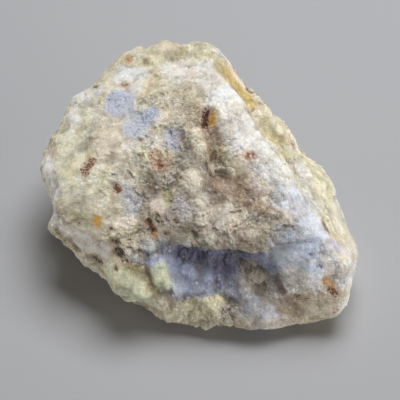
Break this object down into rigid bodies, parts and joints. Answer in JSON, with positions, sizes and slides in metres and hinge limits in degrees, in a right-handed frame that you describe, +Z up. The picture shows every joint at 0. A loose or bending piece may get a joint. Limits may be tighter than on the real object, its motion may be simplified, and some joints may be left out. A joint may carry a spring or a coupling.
{
  "type": "raw hackmanite",
  "caption": "Rough broken lump of raw hackmanite, pale cream, white and violet-blue with rust spots, resting on a small flat of its underside.",
  "frame": {"origin": "middle of the footprint, on the plane that the stone rests on", "axes": "+Z up, +X towards the stone's right end, -Y towards the front with the ledge and the violet-blue hollow below it"},
  "size_m": [0.0643, 0.0601, 0.0347],
  "materials": {
    "hackmanite": "rough broken faces with a dull, slightly waxy skin and sugary grain"
  },
  "bodies": {
    "root": {"hackmanite_stone": "hackmanite"}
  },
  "joints": []
}
